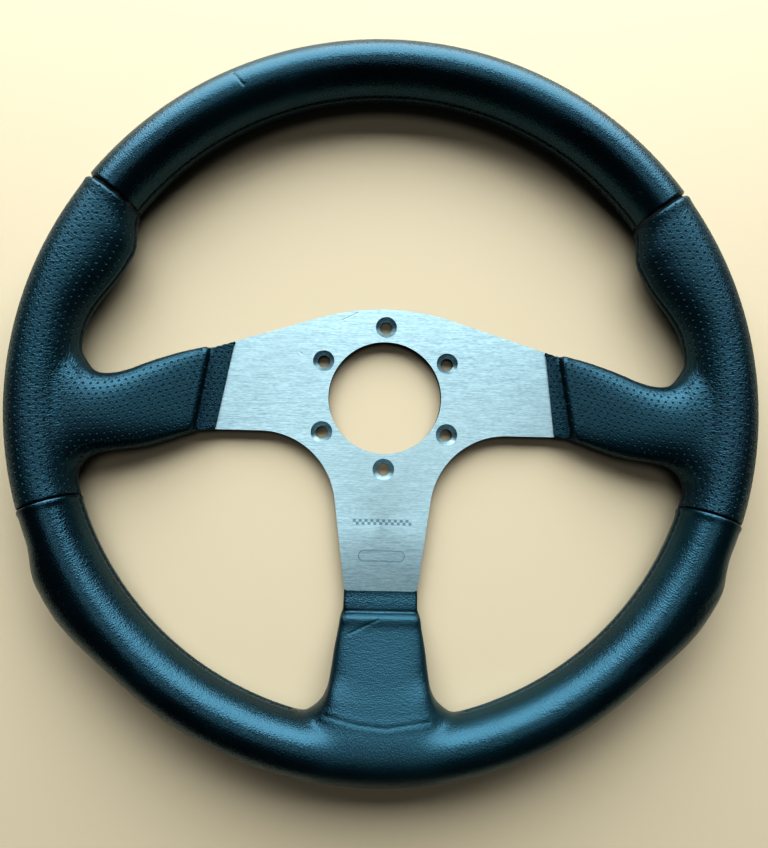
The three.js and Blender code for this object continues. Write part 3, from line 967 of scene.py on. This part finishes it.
def smooth_leather():
    f = Finish("smooth_leather", Specular_IOR_Level=1.0, Specular_Tint=DAYLIGHT_TINT)
    pattern, place = f.pattern(), f.place()
    grain = pebbles(f)
    pull = f.noise(f.scaled(pattern, 0.75, 0.22, 1.0, 0.12), 1.0, 3.0, 0.55, 0.5)
    mottle = f.noise(f.scaled(pattern, 1.6, 0.6, 1.0), 1.0, 2.0)
    patch = f.noise(place, 17.0, 3.0)
    rubbed = f.span(f.noise(place, 38.0, 5.0, 0.65), 0.58, 0.74)
    scuff = f.span(f.noise(f.scaled(place, 140.0, 420.0, 140.0, 0.6), 1.0, 4.0, 0.6), 0.69, 0.75)
    dust = f.span(f.cells(place, 260.0), 0.055, 0.02)
    colour = f.mix(f.span(patch, 0.35, 0.68), LEATHER_DARK, LEATHER_MID)
    colour = f.mix(rubbed * 0.28, colour, LEATHER_WORN)
    colour = f.mix(scuff * 0.3, colour, (0.06, 0.085, 0.095))
    colour = f.mix(dust * f.span(patch, 0.55, 0.62) * 0.5, colour, (0.25, 0.27, 0.26))
    rough = f.between(f.span(patch, 0.3, 0.7), 0.26, 0.33) + scuff * 0.15 + rubbed * 0.06
    rough = rough + (0.5 - grain) * 0.1 + f.mark("matt") * 0.13
    height = grain * 0.13 + pull * 0.26 + mottle * 0.20
    return f.wear(Base_Color=colour, Roughness=rough, Normal=f.bump(height, 0.00045, 1.0))


def brushed_aluminium():
    f = Finish("brushed_aluminium", Metallic=1.0, Anisotropic=0.35)
    place = f.place()
    x, y, _ = f.parts(place)
    fine = f.noise(f.scaled(place, 420.0, 5200.0, 420.0), 1.0, 3.0)
    broad = f.noise(f.scaled(place, 110.0, 2200.0, 110.0), 1.0, 4.0, 0.6)
    cloud = f.noise(place, 18.0, 2.0)
    streak = fine * 0.55 + broad * 0.45
    colour = f.mix(f.span(streak, 0.34, 0.66), (0.31, 0.46, 0.50), (0.57, 0.75, 0.79))
    colour = f.mix(f.span(cloud, 0.4, 0.75) * 0.25, colour, (0.42, 0.54, 0.56))

    def stroke(x0, y0, x1, y1, width):
        """A thin straight scratch between two places, in millimetres."""
        length = math.hypot(x1 - x0, y1 - y0)
        ux, uy = (x1 - x0) / length, (y1 - y0) / length
        dx, dy = x - x0 * MM, y - y0 * MM
        along = (dx * ux + dy * uy) / MM
        aside = abs(dx * -uy + dy * ux) / MM
        inside = f.span(abs(along - length / 2), length / 2 + 0.4, length / 2 - 0.4)
        return f.span(aside, width, width * 0.4) * inside

    scratch = stroke(-22, 38, -14, 42, 0.3)
    nick = stroke(-42, 21.5, -41, 20.5, 0.5)
    marked = f.most(scratch, nick)
    # A small chequered strip and a plain pill outline are printed on the foot.
    in_strip = f.span(abs(x), 0.0142, 0.0140) * f.span(abs(y + 0.0602), 0.0016, 0.0014)
    squares = f.add("ShaderNodeTexChecker", None, f.scaled(place, 1.0, 1.0, 0.0), Scale=714.0, out=1)
    past_end = f.most(abs(x) - 0.0085, x * 0.0)
    pill_gap = (past_end * past_end + (y + 0.0762) * (y + 0.0762))
    pill_edge = abs(pill_gap.only("SQRT") - 0.0024)
    pill = f.span(pill_edge, 0.00032, 0.00018)
    printed = f.most(in_strip * squares, pill)
    colour = f.mix(marked * 0.6, colour, (0.16, 0.19, 0.2))
    colour = f.mix(printed * 0.7, colour, (0.05, 0.10, 0.14))
    rough = f.between(streak, 0.30, 0.46) + printed * 0.15
    height = streak * 0.6 - marked * 1.5
    return f.wear(Base_Color=colour, Roughness=rough, Metallic=1.0 - printed * 0.7,
                  Normal=f.bump(height, 0.00005, 0.9))


# Black anodising for the back and the walls, also used as painted shade on the bevels round the
# windows, arms and foot.
def black_anodising_and_edge_shade():
    f = Finish("black_anodising_and_edge_shade", Metallic=0.3, Specular_IOR_Level=0.4)
    place = f.place()
    worn = f.span(f.noise(place, 260.0, 5.0, 0.7), 0.62, 0.78)
    grit = f.noise(place, 3500.0, 2.0)
    colour = f.mix(worn * 0.5, (0.004, 0.009, 0.011), (0.05, 0.07, 0.08))
    return f.wear(Base_Color=colour, Roughness=f.between(grit, 0.42, 0.6),
                  Normal=f.bump(grit, 0.00003, 0.6))


def mill_aluminium():
    f = Finish("mill_aluminium", Metallic=1.0)
    place = f.place()
    grain = f.noise(place, 1400.0, 4.0)
    stain = f.noise(place, 30.0, 3.0)
    colour = f.mix(stain, (0.42, 0.43, 0.44), (0.56, 0.57, 0.58))
    return f.wear(Base_Color=colour, Roughness=f.between(grain, 0.42, 0.6),
                  Normal=f.bump(grain, 0.00003, 0.7))


def rivet_steel():
    f = Finish("rivet_steel", Metallic=1.0)
    place = f.place()
    marks = f.noise(place, 900.0, 5.0, 0.6)
    colour = f.mix(f.span(marks, 0.4, 0.7), (0.28, 0.29, 0.3), (0.44, 0.45, 0.46))
    return f.wear(Base_Color=colour, Roughness=f.between(marks, 0.34, 0.55),
                  Normal=f.bump(marks, 0.00005, 0.7))


def moulded_foam():
    f = Finish("moulded_foam", Roughness=0.95)
    place = f.place()
    pores = f.cells(place, 700.0)
    colour = f.mix(pores, (0.012, 0.012, 0.013), (0.03, 0.03, 0.032))
    return f.wear(Base_Color=colour, Normal=f.bump(pores, 0.0002, 0.8))


def black_thread():
    f = Finish("black_thread", Sheen_Weight=0.08, Sheen_Roughness=0.4)
    place = f.place()
    twist = f.noise(f.scaled(place, 1.0, 1.0, 1.0, 0.7), 2400.0, 2.0)
    colour = f.mix(f.span(twist, 0.35, 0.7), (0.006, 0.008, 0.009), (0.03, 0.036, 0.04))
    return f.wear(Base_Color=colour, Roughness=f.between(twist, 0.5, 0.75),
                  Normal=f.bump(twist, 0.0001, 0.9))


def pale_floor():
    f = Finish("pale_floor", Specular_IOR_Level=0.25)
    tone = f.noise(f.place(), 3.0, 2.0)
    colour = f.mix(tone, (0.60, 0.50, 0.35), (0.64, 0.54, 0.38))
    return f.wear(Base_Color=colour, Roughness=f.between(tone, 0.6, 0.7))


def finish_piece(piece, material, slot_name, *stands_for):
    piece.data.materials.clear()
    piece.data.materials.append(material)
    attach(piece, "root")
    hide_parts(*stands_for)


# ------------------------------------------------------------------------------- camera and light


def add_camera():
    data = bpy.data.cameras.new("camera")
    data.lens = 29.43
    data.sensor_width = 36.0
    camera = bpy.data.objects.new("camera", data)
    bpy.context.collection.objects.link(camera)
    camera.location = (-0.00801, -0.05005, 0.34097)
    camera.rotation_mode = "ZYX"
    camera.rotation_euler = [math.radians(turn) for turn in (6.329, -1.339, 1.407)]
    data.clip_start, data.clip_end = 0.01, 20.0
    bpy.context.scene.camera = camera


def add_light(name, place, towards, width, height, power, colour):
    data = bpy.data.lights.new(name, "AREA")
    data.shape = "RECTANGLE"
    data.size, data.size_y, data.energy, data.color = width, height, power, colour
    light = bpy.data.objects.new(name, data)
    bpy.context.collection.objects.link(light)
    light.location = place
    light.rotation_euler = (Vector(towards) - Vector(place)).to_track_quat("-Z", "Y").to_euler()


def add_studio():
    bpy.ops.mesh.primitive_plane_add(size=6.0)
    floor = named("floor")
    floor.data.materials.append(pale_floor())
    add_light("window", (0.0, 1.25, 0.85), (0, 0, 0.1), 2.4, 1.7, 68.0, (0.88, 0.95, 1.0))
    add_light("ceiling", (0.0, 0.1, 1.9), (0, 0, 0), 0.9, 0.6, 3.0, (0.95, 0.98, 1.0))
    world = bpy.data.worlds.new("studio")
    world.use_nodes = True
    backdrop = world.node_tree.nodes["Background"]
    backdrop.inputs["Color"].default_value = (0.80, 0.88, 1.0, 1.0)
    backdrop.inputs["Strength"].default_value = 0.03
    bpy.context.scene.world = world
    bpy.context.scene.view_settings.view_transform = "Standard"
    bpy.context.scene.view_settings.look = "High Contrast"


# --------------------------------------------------------------------------------------- assembly


def grip_cover(form, side, name):
    cover = copy_of(form, name)
    end_cover(cover, UPPER_JOINT, side, True, gap=1.6, reach=1.5, drop=1.7, flange=2.0)
    end_cover(cover, LOWER_JOINT, side, False, gap=0.5, reach=0.6, drop=1.1, flange=2.0)
    open_cuff(cover, side)
    inside = distance_below(points_of(cover), UPPER_JOINT, side, True)
    swell(cover, 0.5 * (1 - smooth(inside / 7)) * smooth(inside / 0.8))
    return cover


def cut_covers(form):
    """The four covers: copies of the form that end at the joints and at their cuffs."""
    top = copy_of(form, "leather_cover_top")
    bottom = copy_of(form, "leather_cover_bottom")
    right = grip_cover(form, 1, "leather_cover_right_grip")
    left = grip_cover(form, -1, "leather_cover_left_grip")
    only(form)
    bpy.ops.object.delete()
    for side in (1, -1):
        end_cover(top, UPPER_JOINT, side, False, gap=1.6, reach=1.0, drop=1.4, flange=2.0)
        end_cover(bottom, LOWER_JOINT, side, True, gap=0.5, reach=0.7, drop=1.2, flange=2.0)
    centres = read(bottom.data.polygons, "center", 3) / MM
    sleeve = (np.abs(centres[:, 0]) < 30) & (centres[:, 1] > -110)
    cut(bottom, (0, FOOT_Y - GAP, 0), (0, 1, 0), sleeve)
    for side in (1, -1):
        inside = distance_below(points_of(bottom), LOWER_JOINT, side, True)
        swell(bottom, 0.45 * np.exp(-((inside - 1.6) / 1.3) ** 2))
    return {"top": top, "right": right, "left": left, "bottom": bottom}


def seam_runs():
    """Each cover's seams, by the name of the thread that closes them."""
    below_joint = rim_seam(LOWER_JOINT + 0.4, -16.5)
    along_bottom = rim_seam(LOWER_JOINT - 0.4, -74.5)
    return {
        "top": {"top": rim_seam(UPPER_JOINT + 0.8, 179.2 - UPPER_JOINT)},
        "right": {"right_grip": pad_seam(1), "right_lower_grip": below_joint},
        "left": {"left_grip": pad_seam(-1), "left_lower_grip": below_joint * [-1, 1, 1]},
        "bottom": {"right_bottom": along_bottom, "left_bottom": along_bottom * [-1, 1, 1],
                   "bottom_spoke": foot_seam()},
    }


# Creases, nicks and scratches: the path, the depth, the width and how far the sides puff up.
MARKS = {
    "top": [([(-75.5, 148.5, 31), (-70.5, 143.5, 32)], 0.35, 0.7)],
    "right": [(cuff_crease(1), 1.4, 1.6)],
    "left": [(cuff_crease(-1), 1.4, 1.6)],
    "bottom": [
        ([(-18, -101.9, 10), (0, -102.5, 10), (18, -101.9, 10)], 0.5, 1.0),
        ([(-25, -143.0, 27), (-10, -147.3, 27), (3, -148.8, 27), (22, -145.5, 27)], 0.12, 0.6, 0.08),
        ([(-14.3, -110.4, 16), (-1, -104.6, 14)], 0.22, 0.5),
        ([(161, -77, 24), (148, -89, 28), (128, -107, 30), (110, -121, 31)], 0.2, 2.5),
    ],
}


def dress_cover(cover, runs, marks, thread, leather, slot_name, node_name):
    """Sews, creases and thickens a cover, and gives it its pattern and finish."""
    paths = {name: settle(cover, run) for name, run in runs.items()}
    for name, path in paths.items():
        stitches = sewn_thread(f"stitching_{name}", cover, path)
        finish_piece(stitches, thread, "black_thread", f"seam_thread_{name}")
    for path in paths.values():
        draw_line(cover, path, SEAM_DEPTH, SEAM_WIDTH, SEAM_PUFF)
    for mark in marks:
        draw_line(cover, *mark)
    modifier(cover, "SOLIDIFY", thickness=LEATHER * MM, offset=-1.0, use_rim=True)
    set_points(cover, np.maximum(points_of(cover), LOWEST))
    lay_pattern(cover, list(paths.values()))
    finish_piece(cover, leather, slot_name, node_name)
    shade(cover, 50)


def dress_covers():
    covers, runs = cut_covers(covered_form()), seam_runs()
    perforated, plain, thread = perforated_leather(), smooth_leather(), black_thread()
    for key in ("top", "right", "left", "bottom"):
        grip = key in ("right", "left")
        dress_cover(covers[key], runs[key], MARKS[key], thread, perforated if grip else plain,
                    "perforated_leather" if grip else "smooth_leather",
                    f"leather_{key}_grip" if grip else f"leather_{key}")


def dress_plate():
    plate = hub_plate()
    finish_piece(plate, brushed_aluminium(), "brushed_aluminium", "spoke_plate")
    plate.data.materials.append(black_anodising_and_edge_shade())
    plate.data.polygons.foreach_set("material_index", (~bare_metal(plate)).astype(np.int32))


def dress_inner_pieces():
    """The hoop, the foam and the rivets keep their meshes and get their finishes."""
    finishes = {"rim_hoop": mill_aluminium(), "foam_body": moulded_foam()}
    steel = rivet_steel()
    for name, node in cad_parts.items():
        if name.startswith("rivet_"):
            finishes[name] = steel
        if name in finishes:
            node.data.materials.clear()
            node.data.materials.append(finishes[name])


add_camera()
add_studio()
dress_covers()
dress_plate()
dress_inner_pieces()
